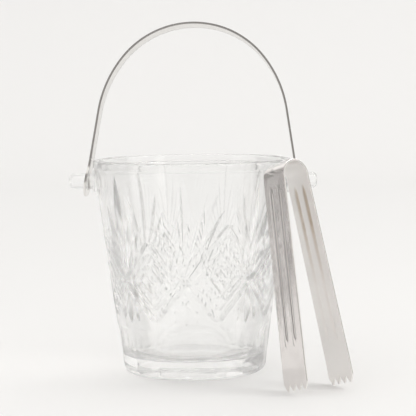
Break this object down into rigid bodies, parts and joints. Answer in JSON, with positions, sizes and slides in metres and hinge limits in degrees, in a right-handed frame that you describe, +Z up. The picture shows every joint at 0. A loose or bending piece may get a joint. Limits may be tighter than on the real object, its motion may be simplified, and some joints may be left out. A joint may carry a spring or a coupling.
{
  "type": "ice bucket",
  "caption": "Tapered cut-glass ice bucket with side lugs, a swinging flat steel strip handle and sprung steel ice tongs standing against the rim.",
  "frame": {"origin": "centre of the glass vessel's flat underside, on the table", "axes": "+X along the two lugs and the handle's pivot line, -Y the front, where the tongs stand to the right, +Y the back, to which the handle leans, +Z up"},
  "size_m": [0.1939, 0.1628, 0.2386],
  "materials": {
    "glass": "clear, fire polished, with pressed cuts",
    "handle_steel": "satin stainless strip",
    "tongs_steel": "polished stainless strip"
  },
  "bodies": {
    "bucket": {"glass_bucket": "glass"},
    "handle": {"carry_handle": "handle_steel"},
    "tongs": {"tongs_bow": "tongs_steel"},
    "left_arm": {"tongs_left_arm": "tongs_steel"},
    "right_arm": {"tongs_right_arm": "tongs_steel"}
  },
  "joints": [
    {"name": "handle_swing", "type": "hinge", "parent": "bucket", "child": "handle", "pos_m": [0, 0, 0.13], "axis": [-1, 0, 0], "range_deg": [-70, 134]},
    {"name": "tongs_lift", "type": "slide", "parent": "bucket", "child": "tongs", "axis": [0, 0, 1], "range_m": [0, 0.2]},
    {"name": "left_arm_squeeze", "type": "hinge", "parent": "tongs", "child": "left_arm", "pos_m": [0.06572, -0.04863, 0.13481], "axis": [0.6161, -0.7474, 0.2487], "range_deg": [0, 7.3], "stiffness_Nm_per_rad": 5},
    {"name": "right_arm_squeeze", "type": "hinge", "parent": "tongs", "child": "right_arm", "pos_m": [0.06572, -0.04863, 0.13481], "axis": [-0.6161, 0.7474, -0.2487], "range_deg": [0, 7.3], "stiffness_Nm_per_rad": 5}
  ],
  "couplings": [
    {"joint": "right_arm_squeeze", "follows": "left_arm_squeeze", "ratio": 1}
  ]
}
